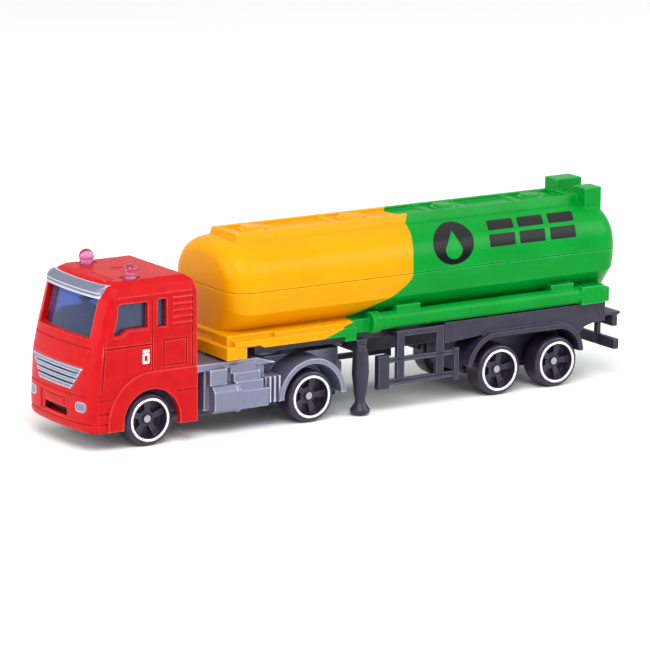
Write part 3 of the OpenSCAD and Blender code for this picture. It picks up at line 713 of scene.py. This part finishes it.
def rim_edge(axle_x, sign):
    """The foil on a wheel's rim edge: a thin ring, a little uneven like stamped foil."""
    # radius, and how far the foil's face stands proud of the wheel's
    profile = ((4.16, -0.14), (4.2, 0.03), (4.3, 0.07), (4.56, 0.07), (4.68, 0.02), (4.74, -0.16))
    foil_depth = 0.14
    sides = 144
    rings = []
    for i in range(sides):
        a = 2 * math.pi * i / sides
        wave = 0.02 * math.sin(5 * a + axle_x) + 0.012 * math.sin(13 * a)
        ring = []
        for r, proud in profile:
            r += wave if r > 4.4 else 0
            ring.append((axle_x + r * math.cos(a), sign * (WHEEL_FACE_Y + proud), TYRE_R + r * math.sin(a)))
        for r, proud in reversed(profile):
            ring.append((axle_x + r * math.cos(a), sign * (WHEEL_FACE_Y + proud - foil_depth),
                         TYRE_R + r * math.sin(a)))
        rings.append(ring)
    return loft(rings, closed=True)


# ---------------------------------------------------------------- tank

def tank_outline(inset, k):
    """The tank's cross-section, shrunk by inset, with its ends scaled by k."""
    w = (TANK_HALF - inset) * k
    h = (TANK_TOP - SEAM_Z - inset) * k
    power = 2 / TANK_SQUARENESS
    steps = 40
    right = []
    for i in range(steps + 1):
        a = math.radians(90 - i * 90 / steps)
        right.append((w * max(math.cos(a), 0) ** power, SEAM_Z + h * max(math.sin(a), 0) ** power))
    right += [(w * 0.995, SEAM_Z - 2 * k), ((13.2 - inset) * k, SEAM_Z - 4.9 * k),
              ((8.8 - inset * 0.6) * k, 21.0 + inset)]
    return right + [(-y, z) for y, z in reversed(right[1:])]


def tank_body(inset=0.0):
    """The whole tank as one closed solid."""
    round_r = 4.8
    steps = 14
    stations = []
    for i in range(steps + 1):
        a = math.radians(90 * i / steps)
        stations.append((round_r * (1 - math.cos(a)), 1 - round_r * (1 - math.sin(a)) / TANK_HALF))
    rear = [(TANK_REAR + inset + along, k) for along, k in stations]
    front = [(TANK_FRONT - inset - along, k) for along, k in reversed(stations)]
    return loft([[(x, y, z) for y, z in tank_outline(inset, k)] for x, k in rear + front])


def slice_between(z0, z1):
    """A block longer and wider than the tank, between two heights."""
    return block((-90, -20, z0), (50, 20, z1))


def build_hatches():
    """Four round hatches on the walkway, each with a bar over it and a plate before and behind it."""
    foot_z = TANK_TOP - 0.2
    bar_half = CHANNEL_HALF + 0.05
    up = (0, 0, 1)
    hatches = []
    for x in MANHOLES:
        hatches += [disc((x, 0, foot_z), up, 3.0, 1.2), disc((x, 0, foot_z), up, 2.1, 1.7),
                    block((x - 0.5, -bar_half, foot_z), (x + 0.5, bar_half, RAIL_TOP - 0.05))]
        for near, far in ((-5.6, -3.6), (3.6, 5.6)):
            hatches.append(block((x + near, -bar_half, foot_z), (x + far, bar_half, RAIL_TOP - 0.45)))
    return hatches


def build_tank_top():
    """Upper half: walkway with rails and hatches, and the two boxes at the rear."""
    body = carve(tank_body(), [slice_between(0, SEAM_Z + 0.05), tank_body(WALL)])
    rails = plate_yz([(-5.9, 39.2), (5.9, 39.2), (5.7, 40.25), (4.95, RAIL_TOP), (-4.95, RAIL_TOP),
                      (-5.7, 40.25)], TANK_REAR + 6, 28)
    rails = carve(rails, [block((TANK_REAR + 8, -CHANNEL_HALF, 41.0), (27.1, CHANNEL_HALF, 50))])
    boxes = [block((-69.3, -6.6, 38.6), (-62.4, -1.7, 44.2)), block((-67.4, 3.8, 38.2), (-62.9, 8.3, 43.7))]
    # the screw posts stand inside the shell, so they come from the CAD node as they are
    post_half = 2.5
    posts = []
    for x in SCREW_XS:
        around = block((x - post_half, -post_half, SEAM_Z), (x + post_half, post_half, 39.4))
        posts.append(carve(node_solid("tank_top_shell"), [around], "INTERSECT"))
    top = soften(join([body, rails] + boxes + build_hatches() + posts), 0.15, 2)
    return finish_piece(top, "tank_top", "trailer", "tank_plastic", ["tank_top_shell"])


def build_tank_bottom():
    """Lower half: the smooth tank skin melted onto the CAD node's deck, skirts and tubes."""
    skin = carve(tank_body(), [slice_between(SEAM_Z - 0.12, 60), tank_body(WALL)])
    bottom = soften(join([skin, node_solid("tank_bottom_shell")]), 0.15, 2)
    return finish_piece(bottom, "tank_bottom", "trailer", "tank_plastic", ["tank_bottom_shell"])


# ---------------------------------------------------------------- stage

def build_stage():
    """Pale floor and soft studio light."""
    size = 3.0
    floor = new_object("studio_floor", [(-size, -size, 0), (size, -size, 0), (size, size, 0),
                                        (-size, size, 0)], [(0, 1, 2, 3)])
    n = Nodes("floor_paper")
    n.set(base_color=(0.93, 0.93, 0.93), roughness=0.9)
    floor.data.materials.append(n.material)
    world = bpy.data.worlds.new("studio")
    world.use_nodes = True
    world.node_tree.nodes["Background"].inputs["Color"].default_value = (1, 1, 1, 1)
    world.node_tree.nodes["Background"].inputs["Strength"].default_value = 0.72
    scene.world = world
    add_area("key", (0.35, 0.55, 0.9), (0, 0, 0.02), 0.7, 8.5)
    add_area("front", (0.75, -0.1, 0.3), (0.05, 0, 0.03), 0.4, 2.2)
    add_area("rear", (-0.7, 0.5, 0.6), (-0.03, 0, 0.03), 0.5, 4)
    scene.view_settings.view_transform = "Standard"


def add_area(name, place, target, size, power):
    """A square lamp at place that shines at target."""
    light = bpy.data.lights.new(name, "AREA")
    light.shape = "SQUARE"
    light.size = size
    light.energy = power
    obj = bpy.data.objects.new(name, light)
    obj.location = place
    aim = Vector(target) - Vector(place)
    obj.rotation_euler = aim.to_track_quat("-Z", "Y").to_euler()
    scene.collection.objects.link(obj)


def build_camera():
    """A long lens, fitted to the photo and turned by its right, up and back directions."""
    camera = bpy.data.cameras.new("camera")
    camera.sensor_width = 36
    camera.lens = 229.69
    camera.clip_start = 0.01
    obj = bpy.data.objects.new("camera", camera)
    right = Vector((-0.836988, 0.547118, 0.010550))
    up = Vector((-0.110405, -0.187718, 0.975998))
    back = Vector((0.535967, 0.815734, 0.217523))
    place = Vector((0.491261, 0.745333, 0.216556))
    obj.matrix_world = Matrix.Translation(place) @ Matrix((right, up, back)).transposed().to_4x4()
    scene.collection.objects.link(obj)
    scene.camera = obj


def dress_nodes():
    """Gives every CAD node the look of its material slot."""
    slots = {s["node"]: s["material_slot"] for s in frame["record"]["subparts"]}
    for node, obj in frame["nodes"].items():
        obj.data.materials.clear()
        obj.data.materials.append(MATERIALS[slots[node]])


build_stage()
build_camera()
build_cab()
build_cab_trim()
build_wheels()
build_tank_top()
build_moulded("tractor_chassis", "chassis", "tractor", "silver_plastic", 0.13)
build_tank_bottom()
build_moulded("trailer_frame", "underframe", "trailer", "black_plastic", 0.15)
build_legs()
build_guards()

dress_nodes()
